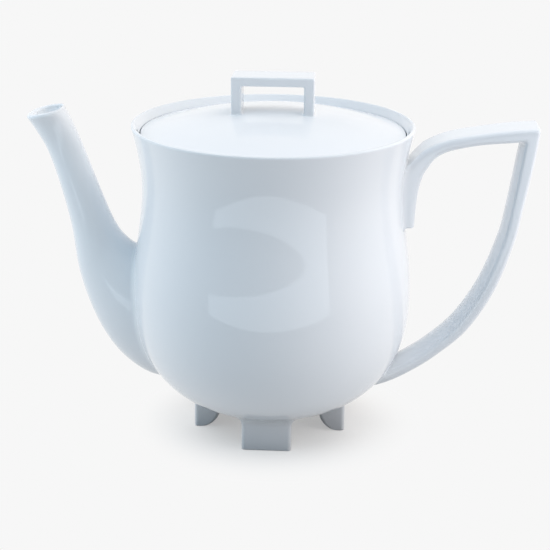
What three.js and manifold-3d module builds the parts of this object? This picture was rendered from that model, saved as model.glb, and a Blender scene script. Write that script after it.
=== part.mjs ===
import * as THREE from 'three';
import { mergeVertices } from 'three/addons/utils/BufferGeometryUtils.js';
import Module from 'manifold-3d';

// A footed porcelain coffee pot. Millimetres, +Z up, the handle toward +X and the spout toward -X.
// The pieces are drawn about the pot's own axis. The whole is then moved so that the origin lies
// under the middle of its outer box, on the surface that the feet stand on.

const wasm = await Module();
wasm.setup();

// Body
const rimRadius = 65;
const rimHeight = 148.5;
const neckRadius = 60.6;
const neckHeight = 120;
const bellyRadius = 65.5;
const bellyHeight = 69;
const baseHeight = 9.3; // underside of the bowl, on the axis
const bowlFullness = 2.5; // exponent of the superellipse under the belly
const bodyWall = 4;
const floorThickness = 4.5;

// Seat of the lid, a ledge inside the rim
const seatDepth = 7; // below the rim's top edge
const seatSideWall = 1.9; // between the seat and the outside of the rim
const seatWidth = 4.6;
const seatThickness = 3.5;
const seatSlopeHeight = 6.5; // from the ledge's underside down to the neck's inner face
const rimBevel = 1.2;

// Lid
const lidSideGap = 0.5;
const lidEdgeThickness = 3;
const lidEdgeBevel = 0.8;
const lidRise = 9.7; // from the edge of the top face to its middle
const lidThickness = 3.6;
const flangeGap = 0.9; // between the flange and the seat's inner edge
const flangeWall = 2.6;
const flangeDepth = 8;

// Knob, a square arch of flat strap
const knobLength = 37.4;
const knobWidth = 16.6;
const knobHeight = 16.3; // above the middle of the lid
const knobBarThickness = 4.2;
const knobLegThickness = 3.8;
const knobBevel = 0.7;

// Feet, one under the spout, one under the handle, one in front and one behind
const footReach = 36.25; // from the pot's axis to the outer face
const footWidth = 23.3;
const footSole = 3.6;
const footCurveDepth = 9; // of the elliptical underside, inward from the sole
const footCurveHeight = 10.5;
const footBevel = 0.9;

// Spout
const spoutReach = 48.3; // of the mouth's lower lip, beyond the belly
const spoutRootWidth = 38;
const spoutWall = 2.7;
const spoutBoreOverrun = 30; // how far the bore's cutter runs past the mouth

// Handle, a flat strap of one width
const handleReach = 60.4; // of its upper corner, beyond the neck
const handleRise = 1.8; // of its upper corner, above the rim
const handleWidth = 21;
const gripThickness = 4.9;
const armThickness = 5.9;
const tailThickness = 4.7; // of the tail's end, beyond the neck
const tailDrop = 46; // from the rim down to the tail's end
const handleBevel = 1.1;

// Fit of any two pieces that touch
const seatGap = 0.3;

// Steps and sides of the round shapes
const bodySides = 48;
const bowlSteps = 10;
const neckSteps = 5;
const flareSteps = 4;
const lidSteps = 4;
const footSteps = 6;
const spoutRings = 18;
const spoutSides = 20;
const handleSteps = 12;

const glazeColour = 0xdfe8f0;

const seatHeight = rimHeight - seatDepth;
const seatRadius = upperRadius(seatHeight) - seatSideWall;
const throatRadius = seatRadius - seatWidth;
const lidRadius = seatRadius - lidSideGap;
const lidEdgeTop = seatHeight + seatGap + lidEdgeThickness;
const heightAt = (share) => baseHeight + share * (rimHeight - baseHeight);

// The handle's curves: each pair is a share of its reach beyond the neck and a share of the height
// from the base to the rim. The first of the arm and the last of the grip lie inside the body's outer
// face, which trims them. Both curves meet in the upper corner.
const armShares = [
  [-0.06, 0.864], [0.023, 0.892], [0.089, 0.927], [0.179, 0.954],
  [0.326, 0.975], [0.545, 0.994], [0.795, 1.006],
];
const gripShares = [
  [0.957, 0.896], [0.853, 0.625], [0.702, 0.456],
  [0.522, 0.316], [0.308, 0.226], [0.017, 0.142], [-0.374, 0.052],
];

// The tail's outside, as multiples of its end's thickness and shares of its drop below the rim
const tailShares = [[2.38, 0.339], [1.45, 0.548], [1.13, 0.772], [1, 1]];

// The spout's cross-sections from its root to its mouth, as shares of its reach beyond the belly, of
// the height from the base to the rim, and of its width at the root. The first ones lie in the body.
const spoutShares = [
  { under: [-0.424, 0.07], top: [-0.424, 0.551], width: 1 },
  { under: [-0.114, 0.109], top: [-0.093, 0.555], width: 0.968 },
  { under: [0.17, 0.188], top: [0, 0.571], width: 0.905 },
  { under: [0.383, 0.307], top: [0.077, 0.593], width: 0.779 },
  { under: [0.538, 0.465], top: [0.151, 0.625], width: 0.621 },
  { under: [0.611, 0.637], top: [0.238, 0.688], width: 0.495 },
  { under: [0.702, 0.787], top: [0.371, 0.813], width: 0.426 },
  { under: [0.787, 0.892], top: [0.48, 0.923], width: 0.389 },
  { under: [0.88, 0.962], top: [0.561, 0.999], width: 0.395 },
  { under: [1, 1.005], top: [0.648, 1.042], width: 0.453 },
];

// A closed geometry as a solid: shared vertices are merged and triangles without area dropped
function solidOf(geometry) {
  const bare = geometry.clone();
  bare.deleteAttribute('normal');
  bare.deleteAttribute('uv');
  const merged = mergeVertices(bare);
  const corners = merged.index.array;
  const kept = [];
  for (let i = 0; i < corners.length; i += 3) {
    const [a, b, c] = [corners[i], corners[i + 1], corners[i + 2]];
    if (a !== b && b !== c && c !== a) kept.push(a, b, c);
  }
  return new wasm.Manifold(new wasm.Mesh({
    numProp: 3,
    vertProperties: new Float32Array(merged.attributes.position.array),
    triVerts: new Uint32Array(kept),
  }));
}

// A solid as a named mesh with the glaze's material
function meshOf(name, solid) {
  const data = solid.getMesh();
  const geometry = new THREE.BufferGeometry();
  geometry.setAttribute('position', new THREE.BufferAttribute(data.vertProperties, 3));
  geometry.setIndex(new THREE.BufferAttribute(data.triVerts, 1));
  geometry.computeVertexNormals();
  const glaze = new THREE.MeshStandardMaterial({ color: glazeColour, roughness: 0.12, metalness: 0 });
  const mesh = new THREE.Mesh(geometry, glaze);
  mesh.name = name;
  return mesh;
}

// A profile of [radius, height] points turned about the Z axis
function turned(profile) {
  const points = profile.map(([radius, height]) => new THREE.Vector2(radius, height));
  return solidOf(new THREE.LatheGeometry(points, bodySides).rotateX(Math.PI / 2));
}

// A closed outline of [x, z] points made into a strap of the given width with bevelled edges
function strap(points, width, bevel) {
  const shape = new THREE.Shape(points.map(([x, z]) => new THREE.Vector2(x, z)));
  const geometry = new THREE.ExtrudeGeometry(shape, {
    depth: width - 2 * bevel,
    bevelThickness: bevel,
    bevelSize: bevel,
    bevelOffset: -bevel,
    bevelSegments: 1,
  });
  geometry.translate(0, 0, bevel - width / 2);
  return solidOf(geometry.rotateX(Math.PI / 2));
}

// Points along a smooth curve through a list of [x, z] points
function smooth(points, steps) {
  const curve = new THREE.SplineCurve(points.map(([x, z]) => new THREE.Vector2(x, z)));
  return curve.getPoints(steps).map((point) => [point.x, point.y]);
}

// The body's outer radius above the belly: a cosine down to the neck and a parabola out to the rim
function upperRadius(height) {
  if (height <= neckHeight) {
    const share = (height - bellyHeight) / (neckHeight - bellyHeight);
    return neckRadius + (bellyRadius - neckRadius) * (1 + Math.cos(Math.PI * share)) / 2;
  }
  const share = (height - neckHeight) / (rimHeight - neckHeight);
  return neckRadius + (rimRadius - neckRadius) * share * share;
}

// The body's side as a profile: a superellipse from the axis up to the belly, then the neck, then
// the flare up to a height. The offset grows the upper part outward.
function sideProfile(bowlRadius, bowlDepth, offset, topHeight) {
  const points = [];
  for (let i = 0; i <= bowlSteps; i += 1) {
    const angle = Math.PI / 2 * i / bowlSteps;
    const across = Math.sin(angle) ** (2 / bowlFullness);
    const down = Math.cos(angle) ** (2 / bowlFullness);
    points.push([bowlRadius * across, bellyHeight - bowlDepth * down]);
  }
  for (let i = 1; i <= neckSteps; i += 1) {
    const height = bellyHeight + (neckHeight - bellyHeight) * i / neckSteps;
    points.push([upperRadius(height) + offset, height]);
  }
  for (let i = 1; i <= flareSteps; i += 1) {
    const height = neckHeight + (topHeight - neckHeight) * i / flareSteps;
    points.push([upperRadius(height) + offset, height]);
  }
  return points;
}

// The body's outside as one solid without a hollow, grown by an offset
function bodyEnvelope(offset) {
  const depth = bellyHeight - baseHeight + offset;
  const side = sideProfile(bellyRadius + offset, depth, offset, rimHeight);
  return turned([...side, [0, rimHeight]]);
}

// The hollow: the inner bowl and neck, the throat inside the ledge, and the lid's recess above it
function bodyHollow() {
  const ledgeUnderside = seatHeight - seatThickness;
  const depth = bellyHeight - baseHeight - floorThickness;
  const side = sideProfile(bellyRadius - bodyWall, depth, -bodyWall, ledgeUnderside - seatSlopeHeight);
  const aboveRim = rimHeight + rimBevel;
  return turned([
    ...side,
    [throatRadius, ledgeUnderside],
    [throatRadius, seatHeight],
    [seatRadius, seatHeight],
    [seatRadius, rimHeight - rimBevel],
    [seatRadius + 2 * rimBevel, aboveRim],
    [0, aboveRim],
  ]);
}

// The spout's outer shape drawn in by an inset, and run on past its mouth
function spoutLoft(inset, overrun) {
  const along = (side) => new THREE.CatmullRomCurve3(spoutShares.map((section) => {
    const [out, up] = section[side];
    return new THREE.Vector3(-bellyRadius - out * spoutReach, 0, heightAt(up));
  }));
  const under = along('under');
  const top = along('top');
  const widths = new THREE.SplineCurve(
    spoutShares.map(({ width }) => new THREE.Vector2(0, width * spoutRootWidth / 2)),
  );
  const rings = [];
  for (let i = 0; i <= spoutRings; i += 1) {
    const share = i / spoutRings;
    const centre = under.getPoint(share).add(top.getPoint(share)).multiplyScalar(0.5);
    const across = top.getPoint(share).sub(centre);
    const halfHeight = across.length() - inset;
    const halfWidth = widths.getPoint(share).y - inset;
    rings.push({ centre, across: across.normalize(), halfHeight, halfWidth });
  }
  if (overrun > 0) {
    const mouth = rings[rings.length - 1];
    const onward = new THREE.Vector3(-mouth.across.z, 0, mouth.across.x);
    rings.push({ ...mouth, centre: mouth.centre.clone().addScaledVector(onward, overrun) });
  }
  return solidOf(loftGeometry(rings, spoutSides));
}

// A closed tube through elliptical rings, its two ends capped from their centres
function loftGeometry(rings, sides) {
  const positions = [];
  for (const { centre, across, halfHeight, halfWidth } of rings) {
    for (let i = 0; i < sides; i += 1) {
      const angle = 2 * Math.PI * i / sides;
      const point = centre.clone().addScaledVector(across, Math.cos(angle) * halfHeight);
      positions.push(point.x, Math.sin(angle) * halfWidth, point.z);
    }
  }
  const firstCentre = rings.length * sides;
  const lastCentre = firstCentre + 1;
  const lastRing = firstCentre - sides;
  for (const { centre } of [rings[0], rings[rings.length - 1]]) positions.push(...centre);
  const triangles = [];
  for (let i = 0; i < sides; i += 1) {
    const next = (i + 1) % sides;
    for (let start = 0; start < lastRing; start += sides) {
      const [a, b, c, d] = [start + i, start + next, start + sides + i, start + sides + next];
      triangles.push(a, b, c, b, d, c);
    }
    triangles.push(firstCentre, next, i);
    triangles.push(lastCentre, lastRing + i, lastRing + next);
  }
  const geometry = new THREE.BufferGeometry();
  geometry.setAttribute('position', new THREE.Float32BufferAttribute(positions, 3));
  geometry.setIndex(triangles);
  return geometry;
}

// The lid's domed top as profile points from a radius to the axis or back, lowered by a drop
function domeProfile(outerRadius, drop) {
  const points = [];
  for (let i = lidSteps; i >= 0; i -= 1) {
    const radius = outerRadius * i / lidSteps;
    points.push([radius, lidEdgeTop - drop + lidRise * (1 - (radius / lidRadius) ** 2)]);
  }
  return points;
}

function lidSolid() {
  const edgeUnderside = seatHeight + seatGap;
  const flangeOuter = throatRadius - flangeGap;
  const flangeInner = flangeOuter - flangeWall;
  return turned([
    ...domeProfile(flangeInner, lidThickness).reverse(),
    [flangeInner, edgeUnderside - flangeDepth],
    [flangeOuter, edgeUnderside - flangeDepth],
    [flangeOuter, edgeUnderside],
    [lidRadius, edgeUnderside],
    [lidRadius, lidEdgeTop - lidEdgeBevel],
    ...domeProfile(lidRadius - lidEdgeBevel, 0),
  ]);
}

// The arch stands on the dome: its legs run down into the space that the lid fills and are cut
function knobSolid() {
  const half = knobLength / 2;
  const insideHalf = half - knobLegThickness;
  const top = lidEdgeTop + lidRise + knobHeight;
  const barUnderside = top - knobBarThickness;
  const arch = [
    [-half, lidEdgeTop], [-insideHalf, lidEdgeTop], [-insideHalf, barUnderside], [insideHalf, barUnderside],
    [insideHalf, lidEdgeTop], [half, lidEdgeTop], [half, top], [-half, top],
  ];
  const lidSpace = turned([[0, seatHeight], [lidRadius, seatHeight], ...domeProfile(lidRadius, -seatGap)]);
  return strap(arch, knobWidth, knobBevel).subtract(lidSpace);
}

// A line of [x, z] points moved to its right, as seen along it, by a depth
function inset(points, depth) {
  return points.map(([x, z], i) => {
    const [beforeX, beforeZ] = points[Math.max(i - 1, 0)];
    const [afterX, afterZ] = points[Math.min(i + 1, points.length - 1)];
    const length = Math.hypot(afterX - beforeX, afterZ - beforeZ);
    return [x + depth * (afterZ - beforeZ) / length, z - depth * (afterX - beforeX) / length];
  });
}

// The arm runs from the neck out to the corner and the grip from there down into the bowl. Their
// inner edges meet in an inner corner, and the arm's underside ends in a tail along the neck.
function handleSolid() {
  const besideNeck = ([out, up]) => [neckRadius + out * handleReach, heightAt(up)];
  const corner = [neckRadius + handleReach, rimHeight + handleRise];
  const armTop = [...armShares.map(besideNeck), corner];
  const gripOutside = [corner, ...gripShares.map(besideNeck)];
  const tailOutside = tailShares.map(
    ([thickness, down]) => [neckRadius + thickness * tailThickness, rimHeight - down * tailDrop],
  );
  const [[startX, startZ], ...gripInside] = inset(gripOutside, gripThickness);
  const armUnderside = inset(armTop.slice(-4, -1), armThickness);
  const [nextX, nextZ] = gripInside[0];
  const innerZ = corner[1] - armThickness;
  const innerCorner = [startX + (innerZ - startZ) * (nextX - startX) / (nextZ - startZ), innerZ];
  const outline = [
    ...smooth(armTop, handleSteps),
    ...smooth(gripOutside, handleSteps).slice(1),
    ...smooth([...gripInside.reverse(), innerCorner], handleSteps),
    ...smooth([innerCorner, ...armUnderside.reverse(), ...tailOutside], handleSteps).slice(1),
    [neckRadius - bodyWall, rimHeight - tailDrop],
  ];
  return strap(outline, handleWidth, handleBevel);
}

// A block with an upright outer face, a flat sole and an underside that curves up to the bowl
function footSolid() {
  const heel = footReach - footSole;
  const insideBowl = bellyHeight / 2;
  const outline = [[footReach, insideBowl], [heel - footCurveDepth, insideBowl]];
  for (let i = footSteps; i >= 0; i -= 1) {
    const angle = Math.PI / 2 * i / footSteps;
    outline.push([heel - footCurveDepth * Math.sin(angle), footCurveHeight * (1 - Math.cos(angle))]);
  }
  outline.push([footReach, 0]);
  return strap(outline, footWidth, footBevel);
}

const bodySpace = bodyEnvelope(seatGap);
const bore = spoutLoft(spoutWall, spoutBoreOverrun);

const pieces = {
  pot_body: bodyEnvelope(0).subtract(bodyHollow()).subtract(bore),
  spout: spoutLoft(0, 0).subtract(bodySpace).subtract(bore),
  handle: handleSolid().subtract(bodySpace),
  lid: lidSolid(),
  lid_knob: knobSolid(),
};
['foot_right', 'foot_back', 'foot_left', 'foot_front'].forEach((name, quarter) => {
  pieces[name] = footSolid().rotate([0, 0, 90 * quarter]).subtract(bodySpace);
});

const pot = new THREE.Group();
for (const [name, solid] of Object.entries(pieces)) pot.add(meshOf(name, solid));
const outerBox = new THREE.Box3().setFromObject(pot);
pot.position.x = -(outerBox.min.x + outerBox.max.x) / 2;

const coffeePot = new THREE.Group();
coffeePot.add(pot);

export default coffeePot;
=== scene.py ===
import math

import bmesh
import bpy
import numpy as np
from mathutils import Matrix, Vector


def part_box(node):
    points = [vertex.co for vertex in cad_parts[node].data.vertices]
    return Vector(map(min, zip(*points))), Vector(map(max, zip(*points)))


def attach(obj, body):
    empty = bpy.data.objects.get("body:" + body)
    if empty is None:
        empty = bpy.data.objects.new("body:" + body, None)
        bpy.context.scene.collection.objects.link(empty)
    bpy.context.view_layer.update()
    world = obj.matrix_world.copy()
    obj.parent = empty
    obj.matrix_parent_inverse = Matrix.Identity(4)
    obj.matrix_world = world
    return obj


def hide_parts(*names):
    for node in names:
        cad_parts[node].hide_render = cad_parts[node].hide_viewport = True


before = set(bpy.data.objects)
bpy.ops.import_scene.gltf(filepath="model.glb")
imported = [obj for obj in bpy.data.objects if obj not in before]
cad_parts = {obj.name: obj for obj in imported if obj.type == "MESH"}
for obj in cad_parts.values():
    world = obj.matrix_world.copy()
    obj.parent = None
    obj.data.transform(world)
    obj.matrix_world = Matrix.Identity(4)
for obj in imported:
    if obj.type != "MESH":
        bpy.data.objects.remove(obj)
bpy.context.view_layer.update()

# The looks of a footed porcelain coffee pot. Shapes are drawn in millimetres about the pot's own
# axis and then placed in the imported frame, which is in metres.

MM = 0.001
LID_LOW, LID_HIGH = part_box("lid")
AXIS_X = (LID_LOW.x + LID_HIGH.x) / 2

# Body. The rounded rim takes over from the side in a band below the top edge, and the hollow's side
# takes over after a short run below the throat.
RIM_RADIUS = 65.4
RIM_HEIGHT = 148.5
RIM_FLARE = 1.7
RIM_BAND = 2.2
RIM_ROUNDING = 0.9
RIM_SLOPE_WIDTH = 2.5
RIM_SLOPE_FOOT = 145.0
SLOPE_TOP_ROUNDING = 0.9
SLOPE_FOOT_ROUNDING = 1.5
NECK_RADIUS = 60.6
NECK_HEIGHT = 120.0
BELLY_RADIUS = 65.5
BELLY_HEIGHT = 69.0
BASE_HEIGHT = 9.3
BOWL_FULLNESS = 2.5
BODY_WALL = 4.0
FLOOR_THICKNESS = 4.5
SEAT_HEIGHT = 141.5
SEAT_RADIUS = 61.2
SEAT_CORNER = 0.5
THROAT_RADIUS = 56.6
THROAT_HEIGHT = 138.0
THROAT_FOOT = 131.5
THROAT_RUN = 8
THROAT_ROUNDINGS = (0.8, 1.0, 3.0)

# Lid. Its rounded edge takes over from the top in a band inside the edge.
LID_RADIUS = 60.9
LID_EDGE_TOP = 144.8
LID_EDGE_UNDER = 141.8
LID_RISE = 9.7
LID_THICKNESS = 3.6
LID_EDGE_BAND = 1.9
LID_EDGE_ROUNDING = 1.1
LID_UNDER_ROUNDING = 0.8
FLANGE_OUTER = 55.7
FLANGE_INNER = 53.1
FLANGE_END = 133.8
FLANGE_CORNER = 0.6
FLANGE_END_ROUNDING = 1.1
FLANGE_ROOT_ROUNDING = 2.0
FLANGE_ROOT_WIDTH = 4
FLANGE_ROOT_DROP = 1.0

# Knob
KNOB_LENGTH = 37.8
KNOB_WIDTH = 16.6
KNOB_TOP = 170.8
KNOB_BAR = 4.2
KNOB_LEG = 4.8
KNOB_ROUNDING = 0.9
KNOB_CORNER = 1.0
KNOB_INSIDE_CORNER = 0.7

# Handle
HANDLE_WIDTH = 21.0
HANDLE_ROUNDING = 2.4
HANDLE_CORNER = 0.9
HANDLE_INSIDE_CORNER = 1.6
TAIL_END_ROUNDING = 0.9
GRIP_CROWN = 2.0

# Feet
FOOT_REACH = 36.25
FOOT_WIDTH = 23.3
FOOT_SOLE = 3.6
FOOT_CURVE_DEPTH = 9.0
FOOT_CURVE_HEIGHT = 10.5
FOOT_ROUNDING = 1.7
FOOT_END_ROUNDING = 1.4
SOLE_DEPTH = 0.05

# Glaze fillets where one piece grows out of another, and how far its root reaches below the
# surface. A fillet's toe widens a little more at two depths below the surface, so that no gap
# shows, and a face that lies along the surface is spread where it is buried. Above the fillet, rows
# are led into it over a length that follows from how unevenly they reach the surface.
SPOUT_FILLET = 2.4
SPOUT_ROOT = 3.9
HANDLE_FILLET = 1.8
ARM_FILLET = 6.0
HANDLE_ROOT = 2.0
FOOT_FILLET = 3.0
FOOT_ROOT = 2.0
KNOB_FILLET = 1.0
KNOB_ROOT = 1.5
FILLET_TOE = 0.7
FILLET_TOE_DEPTHS = (0.12, 0.5)
BURIED_DEPTH = 0.2
BURIED_SPREAD = 4
LED_SHARE = 2.5
LED_ROWS = 4

# Fineness of the meshes: points around a turned piece and a spout ring, steps along the spout and
# the handle, rows in which the grip's crown rises after the corner, and points on each kind of arc,
# between two points of a spline and along the body's side, with its easing passes; last, the least
# rounding of a section, which keeps its corner points apart
AROUND = 288
SPOUT_AROUND = 144
SPOUT_STEP = 1.1
HANDLE_STEP = 0.6
CROWN_ROWS = 11
CORNER_POINTS = 7
CHAIN_CORNER_POINTS = 9
FILLET_POINTS = 12
LIP_POINTS = 11
SPLINE_POINTS = 60
SIDE_POINTS = 400
SIDE_EASINGS = 20
SMALLEST_ROUNDING = 0.02

# The flat end of a strap: rows across it, how near they come to its middle, and how far they and
# the strap's own rows stay clear of the end's rounding, as shares of it
END_ROWS = 8
END_MIDDLE = 0.05
END_FACE_CLEAR = 1.1
END_STRAP_CLEAR = 1.2

# How many points are held against a surface at a time
SURFACE_BATCH = 4000


def unit(vectors):
    """Vectors along the last axis, each scaled to length 1."""
    lengths = np.linalg.norm(vectors, axis=-1, keepdims=True)
    return vectors / np.maximum(lengths, 1e-9)


def distances(line):
    """How far along a polyline each of its points lies."""
    return np.concatenate([[0.0], np.cumsum(np.linalg.norm(np.diff(line, axis=0), axis=1))])


def sampled(line, wanted):
    """The points of a polyline at the wanted distances along it."""
    along = distances(line)
    return np.stack([np.interp(wanted, along, line[:, k]) for k in range(line.shape[1])], axis=1)


def spaced(line, count):
    """A polyline sampled again at even steps of its length."""
    return sampled(line, np.linspace(0.0, distances(line)[-1], count))


def spline(points, spacing):
    """A smooth line through points with any number of coordinates, evenly spaced by length."""
    points = np.asarray(points, float)
    padded = np.vstack([2 * points[0] - points[1], points, 2 * points[-1] - points[-2]])
    pieces = []
    for before, start, end, after in zip(padded, padded[1:], padded[2:], padded[3:]):
        t = np.linspace(0, 1, SPLINE_POINTS, endpoint=False)[:, None]
        leaving = (end - before) / 2
        arriving = (after - start) / 2
        pieces.append(
            (2 * t ** 3 - 3 * t ** 2 + 1) * start + (t ** 3 - 2 * t ** 2 + t) * leaving
            + (3 * t ** 2 - 2 * t ** 3) * end + (t ** 3 - t ** 2) * arriving
        )
    line = np.vstack(pieces + [points[-1:]])
    return spaced(line, max(3, math.ceil(distances(line)[-1] / spacing)))


def corner_arc(corner, before, after, radius, shares):
    """Points on the arc that rounds a corner between two other points, and the length that the arc
    takes from each side."""
    back = unit(before - corner)
    onward = unit(after - corner)
    half = math.acos(float(np.clip(back @ onward, -1, 1))) / 2
    trim = radius / math.tan(half)
    centre = corner + unit(back + onward) * radius / math.sin(half)
    start = corner + back * trim - centre
    end = corner + onward * trim - centre
    shares = shares[:, None]
    return centre + radius * unit(start * (1 - shares) + end * shares), trim


def rounded(corners):
    """A polyline from (x, z, radius) corners, in which each corner with a radius becomes an arc."""
    points = np.array([corner[:2] for corner in corners])
    shares = np.linspace(0, 1, CORNER_POINTS)
    line = []
    for i, corner in enumerate(corners):
        radius = corner[2]
        if radius == 0:
            line.append(points[i:i + 1])
        else:
            line.append(corner_arc(points[i], points[i - 1], points[i + 1], radius, shares)[0])
    return np.vstack(line)


def chain(parts, radius, counts):
    """Lines that meet end to end in corners, joined by arcs. Each line is sampled with its own
    count of points."""
    parts = [np.asarray(part, float) for part in parts]
    shares = np.linspace(0, 1, CHAIN_CORNER_POINTS + 2)[1:-1]
    joined = []
    low = 0.0
    for part, following, count in zip(parts, parts[1:], counts):
        arc, trim = corner_arc(part[-1], part[-2], following[1], radius, shares)
        joined.append(sampled(part, np.linspace(low, distances(part)[-1] - trim, count)))
        joined.append(arc)
        low = trim
    joined.append(sampled(parts[-1], np.linspace(low, distances(parts[-1])[-1], counts[-1])))
    return np.vstack(joined)


def upper_radius(height):
    """The body's outer radius above the belly."""
    share = np.clip((height - BELLY_HEIGHT) / (NECK_HEIGHT - BELLY_HEIGHT), 0, 1)
    flare = np.clip((height - NECK_HEIGHT) / (RIM_HEIGHT - NECK_HEIGHT), 0, None)
    waist = NECK_RADIUS + (BELLY_RADIUS - NECK_RADIUS) * (1 + np.cos(np.pi * share)) / 2
    return waist + (RIM_RADIUS - NECK_RADIUS) * flare ** RIM_FLARE


def side(inset, floor, top_height, spacing):
    """The body's side from the axis up to a height, moved inward by an inset and eased."""
    angle = np.linspace(0, np.pi / 2, SIDE_POINTS)
    bowl = np.stack([
        (BELLY_RADIUS - inset) * np.sin(angle) ** (2 / BOWL_FULLNESS),
        BELLY_HEIGHT - (BELLY_HEIGHT - BASE_HEIGHT - floor) * np.cos(angle) ** (2 / BOWL_FULLNESS),
    ], axis=1)
    heights = np.linspace(BELLY_HEIGHT, top_height, SIDE_POINTS)[1:]
    line = np.vstack([bowl, np.stack([upper_radius(heights) - inset, heights], axis=1)])
    line = spaced(line, math.ceil(distances(line)[-1]))
    for _ in range(SIDE_EASINGS):
        line[1:-1] = (line[:-2] + 2 * line[1:-1] + line[2:]) / 4
    return spaced(line, math.ceil(distances(line)[-1] / spacing))


class Surface:
    """A surface of revolution that other pieces grow out of, from [radius, height] points with the
    outside on the right as seen along them."""

    def __init__(self, outline):
        self.points = outline
        along = np.gradient(outline, axis=0)
        self.normals = unit(np.stack([along[:, 1], -along[:, 0]], axis=1))

    def distance(self, points):
        """How far each point is outside the surface, and the surface's normal there."""
        flat = points.reshape(-1, 3)
        radius = np.hypot(flat[:, 0], flat[:, 1])
        place = np.stack([radius, flat[:, 2]], axis=1)
        nearest = np.zeros(len(place), int)
        for start in range(0, len(place), SURFACE_BATCH):
            batch = slice(start, start + SURFACE_BATCH)
            gaps = place[batch, None, :] - self.points[None]
            nearest[batch] = np.argmin((gaps ** 2).sum(-1), axis=1)
        normal = self.normals[nearest]
        out = ((place - self.points[nearest]) * normal).sum(-1)
        away = flat[:, :2] / np.maximum(radius, 1e-9)[:, None]
        full = np.concatenate([away * normal[:, :1], normal[:, 1:]], axis=1)
        return out.reshape(points.shape[:-1]), full.reshape(points.shape)


def grid_faces(rows, columns):
    """Quads between neighbouring rows of points, each row closed around."""
    return [
        (r * columns + c, r * columns + (c + 1) % columns,
         (r + 1) * columns + (c + 1) % columns, (r + 1) * columns + c)
        for r in range(rows - 1) for c in range(columns)
    ]


def mesh_object(name, points, faces):
    """A smooth mesh object from points in millimetres about the pot's axis."""
    mesh = bpy.data.meshes.new(name)
    placed = np.asarray(points, float) * MM + np.array([AXIS_X, 0.0, 0.0])
    mesh.from_pydata(placed.tolist(), [], faces)
    work = bmesh.new()
    work.from_mesh(mesh)
    bmesh.ops.recalc_face_normals(work, faces=work.faces)
    for face in work.faces:
        face.smooth = True
    work.to_mesh(mesh)
    work.free()
    obj = bpy.data.objects.new(name, mesh)
    bpy.context.scene.collection.objects.link(obj)
    return obj


def tube(name, grid):
    """A closed mesh from a grid, each of its two ends filled with a fan."""
    rows, columns = grid.shape[:2]
    points = np.vstack([grid.reshape(-1, 3), grid[0].mean(0)[None], grid[-1].mean(0)[None]])
    faces = grid_faces(rows, columns)
    first = rows * columns
    last_row = first - columns
    for c in range(columns):
        following = (c + 1) % columns
        faces.append((first, following, c))
        faces.append((first + 1, last_row + c, last_row + following))
    return mesh_object(name, points, faces)


def joined_tube(name, grid):
    """A closed mesh from a grid whose last row joins its first."""
    rows, columns = grid.shape[:2]
    faces = grid_faces(rows, columns)
    last_row = (rows - 1) * columns
    for c in range(columns):
        following = (c + 1) % columns
        faces.append((last_row + c, last_row + following, following, c))
    return mesh_object(name, grid.reshape(-1, 3), faces)


def turned(name, outline):
    """A closed surface of revolution from [radius, height] points, from axis to axis."""
    angles = np.linspace(0, 2 * np.pi, AROUND, endpoint=False)
    ring = np.stack([np.cos(angles), np.sin(angles)], axis=1)
    rows = [
        np.column_stack([ring * radius, np.full(AROUND, height)])
        for radius, height in outline[1:-1]
    ]
    obj = tube(name, np.array(rows))
    poles = obj.data.vertices[-2:]
    poles[0].co.z = outline[0][1] * MM
    poles[1].co.z = outline[-1][1] * MM
    return obj


def normals_of(grid):
    """Outward normals of a grid whose rows run around a piece."""
    along = np.gradient(grid, axis=0)
    around = np.roll(grid, -1, axis=1) - np.roll(grid, 1, axis=1)
    normal = unit(np.cross(around, along))
    outward = (normal * (grid - grid.mean(axis=1, keepdims=True))).sum()
    return normal if outward > 0 else -normal


def grown(grid, surface, fillet, root):
    """A grid whose last rows are led into a surface. Its columns end at the root's depth below the
    surface, and the piece widens into a fillet where it meets the surface."""
    out, _ = surface.distance(grid)
    rows = np.arange(len(grid), dtype=float)
    angles = np.linspace(0, np.pi / 2, FILLET_POINTS)
    toe = fillet + FILLET_TOE if fillet > 0 else 0.0
    falls = [*fillet * (np.sin(angles) - 1), *FILLET_TOE_DEPTHS, root]
    widths = [*fillet * (1 - np.cos(angles)), toe, toe, fillet]
    crossings = []
    for c in range(grid.shape[1]):
        farthest = int(np.argmax(out[:, c]))
        deep = out[farthest:, c] < -root
        if not deep.any():
            raise ValueError("a piece ends above the depth of its root")
        deepest = farthest + int(np.argmax(deep))
        passed = rows[farthest:deepest + 1]
        depths = np.maximum.accumulate(-out[farthest:deepest + 1, c])
        crossings.append(np.interp(falls, depths + 1e-7 * (passed - farthest), passed))
    crossings = np.array(crossings)
    first, last = crossings[:, 0].min(), crossings[:, 0].max()
    begin = max(1, int(first - LED_SHARE * (last - first)) - LED_ROWS)
    count = max(LED_ROWS, math.ceil(last - begin))
    led = np.linspace(0, 1, count, endpoint=False)[:, None]
    places = np.vstack([begin + led * (crossings[:, 0] - begin), crossings.T])
    columns = np.arange(grid.shape[1])
    low = np.clip(np.floor(places).astype(int), 0, len(grid) - 2)
    share = (places - low)[..., None]
    root_rows = grid[low, columns] * (1 - share) + grid[low + 1, columns] * share
    joined = np.concatenate([grid[:begin], root_rows])
    _, up = surface.distance(joined)
    normal = normals_of(joined)
    sideways = normal - (normal * up).sum(-1, keepdims=True) * up
    amounts = np.zeros(len(joined))
    amounts[-len(widths):] = widths
    return joined + sideways * amounts[:, None, None]


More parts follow.
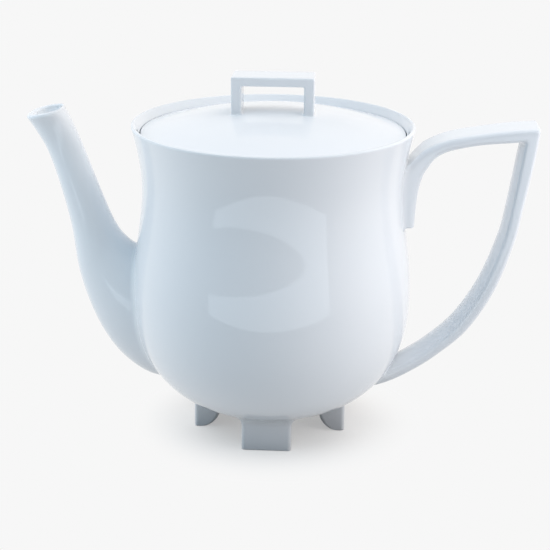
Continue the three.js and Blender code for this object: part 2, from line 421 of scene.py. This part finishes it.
def eased_along(grid, surface, fillet, upper_fillet):
    """Points near a surface moved sideways, so that a piece lying along it meets it in a fillet,
    which is larger where the piece faces upward."""
    out, up = surface.distance(grid)
    normal = normals_of(grid)
    sideways = normal - (normal * up).sum(-1, keepdims=True) * up
    fillet = fillet + (upper_fillet - fillet) * np.clip(sideways[..., 2], 0, 1)
    near = np.clip(out, 0, fillet)
    amount = fillet - np.sqrt(np.maximum(fillet ** 2 - (fillet - near) ** 2, 0))
    amount += BURIED_SPREAD * np.clip(-out, 0, BURIED_DEPTH)
    return grid + sideways * amount[..., None]


def section(outside, inside, width, rounding, inset, across, through, crown=0.0):
    """A rounded rectangle across a strap, between an outside and an inside [x, z] point. A crown
    makes the inside face bulge."""
    out = np.array([outside[0] - inside[0], 0.0, outside[1] - inside[1]])
    thickness = float(np.linalg.norm(out))
    out /= thickness
    r = max(rounding - inset, SMALLEST_ROUNDING)
    low, high = inset + r, max(thickness - inset - r, inset + r)
    half = width / 2 - inset
    flat = half - r
    crown *= 1 - 2 * inset / thickness
    arc = np.linspace(0, np.pi / 2, CORNER_POINTS)[1:-1]
    loop = [(high + r, v) for v in np.linspace(-flat, flat, across)]
    loop += [(high + r * math.cos(a), flat + r * math.sin(a)) for a in arc]
    loop += [(u, half) for u in np.linspace(high, low, through)]
    loop += [(low - r * math.sin(a), flat + r * math.cos(a)) for a in arc]
    loop += [(low - r - crown * (1 - (v / flat) ** 2), v) for v in np.linspace(flat, -flat, across)]
    loop += [(low - r * math.cos(a), -flat - r * math.sin(a)) for a in arc]
    loop += [(u, -half) for u in np.linspace(low, high, through)]
    loop += [(high + r * math.sin(a), -flat - r * math.cos(a)) for a in arc]
    start = np.array([inside[0], 0.0, inside[1]])
    return [start + out * u + np.array([0.0, v, 0.0]) for u, v in loop]


def strap(outside, inside, width, rounding, across, through, end_rounding=0.0, crowns=None):
    """Sections along a strap. With an end rounding, the first end is closed by a flat face with
    rounded edges; the rows of that face come first."""
    rows = []
    if crowns is None:
        crowns = np.zeros(len(outside))
    if end_rounding > 0:
        along = distances((outside + inside) / 2)
        thickness = float(np.linalg.norm(outside[0] - inside[0]))
        face = np.linspace(thickness / 2 - END_MIDDLE, end_rounding * END_FACE_CLEAR, END_ROWS)
        for inset in face:
            rows.append(section(outside[0], inside[0], width, rounding, inset, across, through))
        for angle in np.linspace(0, np.pi / 2, CORNER_POINTS):
            place = end_rounding * (1 - math.cos(angle))
            outer = [np.interp(place, along, outside[:, k]) for k in range(2)]
            inner = [np.interp(place, along, inside[:, k]) for k in range(2)]
            inset = end_rounding * (1 - math.sin(angle))
            rows.append(section(outer, inner, width, rounding, inset, across, through))
        kept = along > end_rounding * END_STRAP_CLEAR
        outside, inside, crowns = outside[kept], inside[kept], crowns[kept]
    for outer, inner, crown in zip(outside, inside, crowns):
        rows.append(section(outer, inner, width, rounding, 0.0, across, through, crown))
    return np.array(rows)


# Body: the side, a rim that slopes inward to the lid, the ledge under the lid, and the hollow

OUTER_SIDE = side(inset=0.0, floor=0.0, top_height=RIM_HEIGHT, spacing=0.5)
BODY = Surface(OUTER_SIDE)


def body_piece():
    outer = spaced(OUTER_SIDE, count=150)
    outer = outer[outer[:, 1] < RIM_HEIGHT - RIM_BAND]
    ledge, throat, throat_foot = THROAT_ROUNDINGS
    run_end = THROAT_FOOT - THROAT_RUN
    rim = rounded([
        (*outer[-1], 0),
        (RIM_RADIUS, RIM_HEIGHT, RIM_ROUNDING),
        (SEAT_RADIUS + RIM_SLOPE_WIDTH, RIM_HEIGHT, SLOPE_TOP_ROUNDING),
        (SEAT_RADIUS, RIM_SLOPE_FOOT, SLOPE_FOOT_ROUNDING),
        (SEAT_RADIUS, SEAT_HEIGHT, SEAT_CORNER),
        (THROAT_RADIUS, SEAT_HEIGHT, ledge),
        (THROAT_RADIUS, THROAT_HEIGHT, throat),
        (float(upper_radius(THROAT_FOOT)) - BODY_WALL, THROAT_FOOT, throat_foot),
        (float(upper_radius(run_end)) - BODY_WALL, run_end, 0),
    ])
    inner = side(BODY_WALL, FLOOR_THICKNESS, top_height=run_end - 1, spacing=2.0)[::-1]
    return turned("pot_body_look", np.vstack([outer, rim[1:], inner]))


# Spout, as rings from the mouth to the root: lower edge, upper edge, half width, fullness of the
# outline (2 is an ellipse) and thickness of the wall

SPOUT_RINGS = [
    (-113.9, 150.3, -96.9, 153.4, 11.4, 2.5, 2.5),
    (-109.6, 142.9, -93.6, 147.8, 8.9, 2.2, 3.6),
    (-104.8, 133.5, -89.2, 137.8, 7.5, 2.0, 3.8),
    (-100.0, 118.9, -83.6, 122.5, 8.1, 2.0, 3.2),
    (-95.0, 98.0, -77.0, 105.0, 9.4, 2.0, 2.7),
    (-91.5, 74.0, -72.8, 96.3, 11.8, 2.0, 2.7),
    (-84.0, 52.0, -69.2, 91.8, 14.8, 2.0, 2.7),
    (-73.7, 35.5, -65.5, 88.8, 17.2, 2.0, 2.7),
    (-60.0, 24.5, -61.0, 86.5, 18.4, 2.0, 2.7),
    (-46.0, 21.5, -46.0, 85.5, 18.8, 2.0, 2.7),
    (-33.0, 23.0, -33.0, 85.0, 18.8, 2.0, 2.7),
]

# How far the bore sits toward the pot at the mouth, and the number of rings over which that fades
MOUTH_SHIFT = 1.5
MOUTH_DEPTH = 9


def spout_ring(ring, inset, forward=0.0, shift=0.0):
    """A ring across the spout, drawn in by an inset and moved toward the mouth and the pot."""
    low_x, low_z, high_x, high_z, half_width, fullness = ring[:6]
    lower = np.array([low_x, 0.0, low_z])
    upper = np.array([high_x, 0.0, high_z])
    centre = (lower + upper) / 2
    rise = unit(upper - lower)
    toward_mouth = np.array([-rise[2], 0.0, rise[0]])
    half_height = float(np.linalg.norm(upper - lower)) / 2 - inset
    angles = np.linspace(0, 2 * np.pi, SPOUT_AROUND, endpoint=False)[:, None]
    around = np.hstack([np.cos(angles), np.sin(angles)])
    around = np.sign(around) * np.abs(around) ** (2 / fullness)
    across = np.array([0.0, 1.0, 0.0])
    return (
        centre + toward_mouth * forward + rise * shift
        + rise * around[:, :1] * half_height + across * around[:, 1:] * (half_width - inset)
    )


def spout_piece():
    rings = spline(SPOUT_RINGS, SPOUT_STEP)[1:]
    walls = rings[:, -1]
    lip = walls[0] / 2
    outer = np.array([spout_ring(ring, 0.0) for ring in rings])
    shifts = MOUTH_SHIFT * np.clip(1 - np.arange(len(rings)) / MOUTH_DEPTH, 0, 1) ** 2
    inner = np.array([
        spout_ring(ring, wall, 0.0, shift) for ring, wall, shift in zip(rings, walls, shifts)
    ])
    edge = []
    for angle in np.linspace(0, np.pi, LIP_POINTS + 2)[1:-1]:
        inward = (1 - math.cos(angle)) / 2
        forward = lip * math.sin(angle)
        edge.append(spout_ring(rings[0], 2 * lip * inward, forward, MOUTH_SHIFT * inward))
    outer = grown(outer, BODY, SPOUT_FILLET, SPOUT_ROOT)
    inner = grown(inner, BODY, 0.0, SPOUT_ROOT)
    return joined_tube("spout_look", np.concatenate([outer[::-1], edge, inner]))


def open_spout_hole(body):
    """Cuts the hole for the spout into the body's wall."""
    rings = spline(SPOUT_RINGS, spacing=2.0)
    grid = np.array([spout_ring(ring, ring[-1] / 2) for ring in rings])
    cutter = tube("spout_hole", grid[len(grid) // 3:])
    cut = body.modifiers.new("spout hole", "BOOLEAN")
    cut.operation = "DIFFERENCE"
    cut.solver = "EXACT"
    cut.object = cutter
    evaluated = body.evaluated_get(bpy.context.evaluated_depsgraph_get())
    shape = bpy.data.meshes.new_from_object(evaluated)
    body.modifiers.clear()
    body.data = shape
    bpy.data.objects.remove(cutter)


# Handle: outside and inside [x, z] points. The arm comes up out of the neck as a tail that lies
# along it; the grip runs from the upper corner down into the bowl.

ARM = [
    (58.4, 102.5, 65.9, 102.5),
    (58.4, 113.0, 66.4, 113.0),
    (58.5, 121.5, 67.4, 121.5),
    (60.0, 128.0, 69.2, 127.8),
    (63.0, 132.3, 71.2, 131.2),
    (65.6, 135.6, 73.7, 134.8),
    (70.4, 140.0, 76.9, 137.3),
    (80.3, 144.4, 82.5, 139.5),
    (93.5, 147.1, 94.6, 142.0),
    (108.6, 149.3, 109.2, 143.5),
    (121.0, 150.3, 114.2, 144.3),
]
GRIP = [
    (121.0, 150.3, 114.2, 144.3),
    (118.9, 134.0, 112.8, 134.8),
    (115.4, 113.5, 110.0, 114.6),
    (112.2, 96.3, 106.9, 97.5),
    (104.5, 72.8, 99.0, 74.9),
    (93.1, 53.3, 88.0, 56.4),
    (80.3, 40.8, 76.5, 44.8),
    (68.1, 31.8, 65.2, 36.4),
    (54.0, 24.4, 52.0, 29.4),
    (34.0, 19.0, 33.0, 25.5),
]


def handle_piece():
    arm = spline(ARM, HANDLE_STEP)
    grip = spline(GRIP, HANDLE_STEP)
    counts = (len(arm), len(grip))
    outside = chain([arm[:, :2], grip[:, :2]], HANDLE_CORNER, counts)
    inside = chain([arm[:, 2:], grip[:, 2:]], HANDLE_INSIDE_CORNER, counts)
    past_corner = np.arange(len(outside)) - len(arm)
    crowns = GRIP_CROWN * np.clip(past_corner / CROWN_ROWS, 0, 1)
    grid = strap(
        outside, inside, HANDLE_WIDTH, HANDLE_ROUNDING, across=21, through=4,
        end_rounding=TAIL_END_ROUNDING, crowns=crowns,
    )
    grid[:len(arm)] = eased_along(grid[:len(arm) + 1], BODY, HANDLE_FILLET, ARM_FILLET)[:-1]
    return tube("handle_look", grown(grid, BODY, HANDLE_FILLET, HANDLE_ROOT))


# Feet

def foot_piece(name, quarter):
    heel = FOOT_REACH - FOOT_SOLE
    angles = np.linspace(0, np.pi / 2, 40)
    curve = np.stack([
        heel - FOOT_CURVE_DEPTH * np.sin(angles), FOOT_CURVE_HEIGHT * (1 - np.cos(angles)),
    ], axis=1)
    upright = np.linspace(FOOT_CURVE_HEIGHT, BELLY_HEIGHT / 2, 60)[1:]
    inside = np.vstack([curve, np.stack([np.full(len(upright), curve[-1][0]), upright], axis=1)])
    outside = np.stack([np.full(len(inside), FOOT_REACH), inside[:, 1]], axis=1)
    grid = strap(
        outside, inside, FOOT_WIDTH, FOOT_ROUNDING, across=25, through=14,
        end_rounding=FOOT_END_ROUNDING,
    )
    grid = grown(grid, BODY, FOOT_FILLET, FOOT_ROOT)
    turn = np.array(Matrix.Rotation(quarter * math.pi / 2, 3, "Z"))
    return tube(name, grid @ turn.T)


# Lid and knob

def dome(radii):
    """Points on the lid's top at the given radii."""
    return np.stack([radii, LID_EDGE_TOP + LID_RISE * (1 - (radii / LID_RADIUS) ** 2)], axis=1)


DOME = dome(np.linspace(LID_RADIUS, 0, 300))


def lid_piece():
    top = spaced(DOME, count=64)[::-1]
    top = top[top[:, 0] < LID_RADIUS - LID_EDGE_BAND]
    under = dome(np.linspace(FLANGE_INNER - FLANGE_ROOT_WIDTH, 0, 24)) - [0, LID_THICKNESS]
    edge = rounded([
        (*top[-1], 0),
        (LID_RADIUS, LID_EDGE_TOP, LID_EDGE_ROUNDING),
        (LID_RADIUS, LID_EDGE_UNDER, LID_UNDER_ROUNDING),
        (FLANGE_OUTER, LID_EDGE_UNDER, FLANGE_CORNER),
        (FLANGE_OUTER, FLANGE_END, FLANGE_END_ROUNDING),
        (FLANGE_INNER, FLANGE_END, FLANGE_END_ROUNDING),
        (FLANGE_INNER, under[0][1] - FLANGE_ROOT_DROP, FLANGE_ROOT_ROUNDING),
        (*under[0], 0),
    ])
    return turned("lid_look", np.vstack([top, edge[1:-1], under]))


def knob_piece():
    half = KNOB_LENGTH / 2

    def arch(reach, top, radius):
        return chain([
            [(-reach, LID_EDGE_TOP), (-reach, top)],
            [(-reach, top), (reach, top)],
            [(reach, top), (reach, LID_EDGE_TOP)],
        ], radius, counts=(40, 46, 40))

    outside = arch(half, KNOB_TOP, KNOB_CORNER)
    inside = arch(half - KNOB_LEG, KNOB_TOP - KNOB_BAR, KNOB_INSIDE_CORNER)
    grid = strap(outside, inside, KNOB_WIDTH, KNOB_ROUNDING, across=18, through=6)
    lid_top = Surface(DOME)
    grid = grown(grid, lid_top, KNOB_FILLET, KNOB_ROOT)
    grid = grown(grid[::-1], lid_top, KNOB_FILLET, KNOB_ROOT)
    return tube("lid_knob_look", grid)


# Materials

GLAZE_THICK = (0.80, 0.835, 0.87)
GLAZE_THIN = (0.82, 0.85, 0.88)
GLAZE_ROUGHNESS = 0.05
GLAZE_INDEX = 1.5
POOLING_SCALE = 14.0
RIPPLE_SCALE = 55.0
RIPPLE_STRENGTH = 0.05
RIPPLE_HEIGHT = 0.001
SOLE_DARK = (0.70, 0.69, 0.66)
SOLE_LIGHT = (0.80, 0.79, 0.77)
SOLE_ROUGHNESS = 0.75
SOLE_GRAIN_SCALE = 900.0


def noise(nodes, links, scale, detail):
    """A noise pattern fixed to the piece, with features about 1 / scale metres wide."""
    place = nodes.new("ShaderNodeTexCoord")
    pattern = nodes.new("ShaderNodeTexNoise")
    pattern.inputs["Scale"].default_value = scale
    pattern.inputs["Detail"].default_value = detail
    links.new(place.outputs["Object"], pattern.inputs["Vector"])
    return pattern.outputs["Fac"]


def toned(nodes, links, value, stops):
    """A colour picked by a value, between two stops of a position and a colour."""
    tint = nodes.new("ShaderNodeValToRGB")
    for element, (position, colour) in zip(tint.color_ramp.elements, stops):
        element.position = position
        element.color = (*colour, 1)
    links.new(value, tint.inputs["Fac"])
    return tint.outputs["Color"]


def glaze_material():
    """White porcelain under a clear gloss glaze that pools a little unevenly."""
    material = bpy.data.materials.new("glazed porcelain")
    material.use_nodes = True
    nodes, links = material.node_tree.nodes, material.node_tree.links
    shader = nodes["Principled BSDF"]
    pooling = noise(nodes, links, POOLING_SCALE, detail=3.0)
    colour = toned(nodes, links, pooling, ((0.35, GLAZE_THICK), (0.65, GLAZE_THIN)))
    bump = nodes.new("ShaderNodeBump")
    bump.inputs["Strength"].default_value = RIPPLE_STRENGTH
    bump.inputs["Distance"].default_value = RIPPLE_HEIGHT
    links.new(noise(nodes, links, RIPPLE_SCALE, detail=1.0), bump.inputs["Height"])
    links.new(colour, shader.inputs["Base Color"])
    links.new(bump.outputs["Normal"], shader.inputs["Normal"])
    shader.inputs["Roughness"].default_value = GLAZE_ROUGHNESS
    shader.inputs["IOR"].default_value = GLAZE_INDEX
    return material


def sole_material():
    """Bare, ground porcelain on the standing faces."""
    material = bpy.data.materials.new("unglazed sole")
    material.use_nodes = True
    nodes, links = material.node_tree.nodes, material.node_tree.links
    shader = nodes["Principled BSDF"]
    grain = noise(nodes, links, SOLE_GRAIN_SCALE, detail=2.0)
    colour = toned(nodes, links, grain, ((0, SOLE_DARK), (1, SOLE_LIGHT)))
    links.new(colour, shader.inputs["Base Color"])
    shader.inputs["Roughness"].default_value = SOLE_ROUGHNESS
    return material


glaze = glaze_material()
sole = sole_material()

body = body_piece()
open_spout_hole(body)
pieces = {
    "pot_body": (body, "pot"),
    "spout": (spout_piece(), "pot"),
    "handle": (handle_piece(), "pot"),
    "lid": (lid_piece(), "lid"),
    "lid_knob": (knob_piece(), "lid"),
}
for quarter, node in enumerate(("foot_right", "foot_back", "foot_left", "foot_front")):
    pieces[node] = (foot_piece(node + "_look", quarter), "pot")
for node, (piece, carrier) in pieces.items():
    piece.data.materials.clear()
    piece.data.materials.append(glaze)
    if node.startswith("foot"):
        piece.data.materials.append(sole)
        for face in piece.data.polygons:
            if face.center.z < SOLE_DEPTH * MM:
                face.material_index = 1
    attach(piece, carrier)
    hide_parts(node)


# Studio: a white floor and backdrop, soft lobes of light from all round, a lamp on each side, and a
# low panel in front that only shows in the glaze, as a window. Near the pot the floor is partly
# paper, which takes its shadow, and farther out it is the backdrop. Instead of throwing light back,
# the floor glows with a painted bounce light, painted darker toward the pot as a painted shade.

BACKDROP = (0.93, 0.93, 0.93)
FLOOR_REACH = 6.0
SHADOW_INNER, SHADOW_OUTER = 0.030, 0.070
SHADOW_DEPTH = 0.6
PAPER = (0.82, 0.81, 0.79)
# The floor's glow of painted bounce light, and how steeply its painted shade darkens it toward the
# pot
FLOOR_GLOW = (0.62, 0.65, 0.68)
GLOW_FALLOFF = 3.0
LOBE_SHARPNESS = 8.0


def backdrop_rays(nodes, links):
    """1 for camera, glossy and transmission rays, which all see the plain backdrop."""
    rays = nodes.new("ShaderNodeLightPath")
    total = rays.outputs["Is Camera Ray"]
    for kind in ("Is Glossy Ray", "Is Transmission Ray"):
        add = nodes.new("ShaderNodeMath")
        add.operation = "ADD"
        add.use_clamp = True
        links.new(total, add.inputs[0])
        links.new(rays.outputs[kind], add.inputs[1])
        total = add.outputs[0]
    return total


def floor_piece():
    sides = ((-1, -1), (1, -1), (1, 1), (-1, 1))
    corners = [(x * FLOOR_REACH, y * FLOOR_REACH, 0) for x, y in sides]
    mesh = bpy.data.meshes.new("floor")
    mesh.from_pydata(corners, [], [(0, 1, 2, 3)])
    floor = bpy.data.objects.new("floor", mesh)
    bpy.context.scene.collection.objects.link(floor)
    material = bpy.data.materials.new("floor")
    material.use_nodes = True
    nodes, links = material.node_tree.nodes, material.node_tree.links
    nodes.clear()
    place = nodes.new("ShaderNodeTexCoord")
    distance = nodes.new("ShaderNodeVectorMath")
    distance.operation = "LENGTH"
    links.new(place.outputs["Object"], distance.inputs[0])
    ramp = nodes.new("ShaderNodeMapRange")
    ramp.interpolation_type = "SMOOTHSTEP"
    ramp.inputs["From Min"].default_value = SHADOW_INNER
    ramp.inputs["From Max"].default_value = SHADOW_OUTER
    ramp.inputs["To Min"].default_value = 1 - SHADOW_DEPTH
    links.new(distance.outputs["Value"], ramp.inputs["Value"])
    paper = nodes.new("ShaderNodeBsdfDiffuse")
    paper.inputs["Color"].default_value = (*PAPER, 1)
    backdrop = nodes.new("ShaderNodeEmission")
    backdrop.inputs["Color"].default_value = (*BACKDROP, 1)
    seen = nodes.new("ShaderNodeMixShader")
    links.new(ramp.outputs["Result"], seen.inputs["Fac"])
    links.new(paper.outputs["BSDF"], seen.inputs[1])
    links.new(backdrop.outputs["Emission"], seen.inputs[2])
    # For the other rays the floor is a glow of painted bounce light, whose strength falls toward
    # the pot as a painted shade under it
    glow = nodes.new("ShaderNodeEmission")
    glow.inputs["Color"].default_value = (*FLOOR_GLOW, 1)
    falloff = nodes.new("ShaderNodeMath")
    falloff.operation = "POWER"
    falloff.inputs[1].default_value = GLOW_FALLOFF
    links.new(ramp.outputs["Result"], falloff.inputs[0])
    links.new(falloff.outputs[0], glow.inputs["Strength"])
    choose = nodes.new("ShaderNodeMixShader")
    links.new(backdrop_rays(nodes, links), choose.inputs["Fac"])
    links.new(glow.outputs["Emission"], choose.inputs[1])
    links.new(seen.outputs["Shader"], choose.inputs[2])
    output = nodes.new("ShaderNodeOutputMaterial")
    links.new(choose.outputs["Shader"], output.inputs["Surface"])
    material.cycles.emission_sampling = "NONE"
    mesh.materials.append(material)


def soft_light(name, place, facing, size, energy, colour, roll=0.0, reflected=False):
    """A rectangular panel of light that the camera doesn't see. A reflected one only shows in the
    glaze; the others only light it."""
    data = bpy.data.lights.new(name, "AREA")
    data.shape = "RECTANGLE"
    data.size, data.size_y = size
    data.energy = energy
    data.color = colour
    light = bpy.data.objects.new(name, data)
    aimed = Vector(facing).to_track_quat("-Z", "Y").to_matrix() @ Matrix.Rotation(roll, 3, "Z")
    light.matrix_world = Matrix.Translation(place) @ aimed.to_4x4()
    light.visible_camera = False
    light.visible_diffuse = not reflected
    light.visible_glossy = reflected
    bpy.context.scene.collection.objects.link(light)


def lobe(nodes, links, direction, azimuth, elevation, colour):
    """Light that is strongest from one direction, in degrees from the front and above the floor."""
    across, rise = math.radians(azimuth), math.radians(elevation)
    facing = nodes.new("ShaderNodeVectorMath")
    facing.operation = "DOT_PRODUCT"
    facing.inputs[1].default_value = (
        math.sin(across) * math.cos(rise), -math.cos(across) * math.cos(rise), math.sin(rise),
    )
    front = nodes.new("ShaderNodeMath")
    front.operation = "MAXIMUM"
    front.inputs[1].default_value = 0.0
    soft = nodes.new("ShaderNodeMath")
    soft.operation = "POWER"
    soft.inputs[1].default_value = LOBE_SHARPNESS
    tinted = nodes.new("ShaderNodeVectorMath")
    tinted.operation = "SCALE"
    tinted.inputs[0].default_value = colour
    links.new(direction.outputs["Generated"], facing.inputs[0])
    links.new(facing.outputs["Value"], front.inputs[0])
    links.new(front.outputs[0], soft.inputs[0])
    links.new(soft.outputs[0], tinted.inputs["Scale"])
    return tinted.outputs["Vector"]


def studio_world(lobes):
    """A world that lights with the sum of the lobes and is seen as the plain backdrop."""
    world = bpy.data.worlds.new("studio")
    bpy.context.scene.world = world
    world.use_nodes = True
    nodes, links = world.node_tree.nodes, world.node_tree.links
    direction = nodes.new("ShaderNodeTexCoord")
    parts = [lobe(nodes, links, direction, **setting) for setting in lobes]
    total = parts[0]
    for part in parts[1:]:
        add = nodes.new("ShaderNodeVectorMath")
        links.new(total, add.inputs[0])
        links.new(part, add.inputs[1])
        total = add.outputs["Vector"]
    light = nodes["Background"]
    links.new(total, light.inputs["Color"])
    backdrop = nodes.new("ShaderNodeBackground")
    backdrop.inputs["Color"].default_value = (*BACKDROP, 1)
    choose = nodes.new("ShaderNodeMixShader")
    links.new(backdrop_rays(nodes, links), choose.inputs["Fac"])
    links.new(light.outputs["Background"], choose.inputs[1])
    links.new(backdrop.outputs["Background"], choose.inputs[2])
    links.new(choose.outputs["Shader"], nodes["World Output"].inputs["Surface"])


LOBES = (
    dict(azimuth=90, elevation=58, colour=(3.6, 3.4, 3.25)),
    dict(azimuth=160, elevation=25, colour=(1.1, 1.05, 1.05)),
    dict(azimuth=240, elevation=25, colour=(2.75, 2.6, 2.55)),
    dict(azimuth=330, elevation=58, colour=(0.42, 0.8, 1.12)),
)

floor_piece()
soft_light(
    "left", place=(-0.335, -0.12, 0.175), facing=(0.26, 0.12, -0.065), size=(0.3, 0.3),
    energy=0.4, colour=(0.82, 0.93, 1.0),
)
soft_light(
    "right", place=(0.335, -0.12, 0.175), facing=(-0.26, 0.12, -0.065), size=(0.3, 0.3),
    energy=0.52, colour=(1.0, 0.97, 1.0),
)
soft_light(
    "front", place=(0.011, -0.27, -0.011), facing=(0, 1, 0), size=(0.54, 0.17),
    energy=0.4, colour=(0.82, 0.92, 1.0), roll=0.103, reflected=True,
)
studio_world(LOBES)

scene = bpy.context.scene
scene.view_settings.view_transform = "Standard"
scene.view_settings.look = "None"


# Camera, as fitted to the rim, the feet and the knob in the photograph, in metres and radians. Its
# focal length was found in pixels of a square picture.

CAMERA_DISTANCE = 0.64415
CAMERA_HEIGHT = 0.29536
CAMERA_PITCH = 0.3301
CAMERA_YAW = 0.0023
CAMERA_ROLL = -0.0102
POT_TURN = 0.05374
FOCAL_PIXELS = 1432.41
PICTURE_PIXELS = 550
SENSOR_WIDTH = 36

forward = Vector((
    math.sin(CAMERA_YAW) * math.cos(CAMERA_PITCH),
    math.cos(CAMERA_YAW) * math.cos(CAMERA_PITCH),
    -math.sin(CAMERA_PITCH),
))
right = forward.cross(Vector((0, 0, 1))).normalized()
up = right.cross(forward)
rolled_right = math.cos(CAMERA_ROLL) * right - math.sin(CAMERA_ROLL) * up
rolled_up = math.sin(CAMERA_ROLL) * right + math.cos(CAMERA_ROLL) * up
turn = Matrix.Rotation(POT_TURN, 3, "Z")
place = turn @ Vector((0, -CAMERA_DISTANCE, CAMERA_HEIGHT)) + Vector((AXIS_X, 0, 0))
axes = Matrix((turn @ rolled_right, turn @ rolled_up, turn @ -forward)).transposed()
camera_data = bpy.data.cameras.new("camera")
camera_data.lens = FOCAL_PIXELS / PICTURE_PIXELS * SENSOR_WIDTH
camera_data.sensor_width = SENSOR_WIDTH
camera = bpy.data.objects.new("camera", camera_data)
camera.matrix_world = Matrix.Translation(place) @ axes.to_4x4()
scene.collection.objects.link(camera)
scene.camera = camera
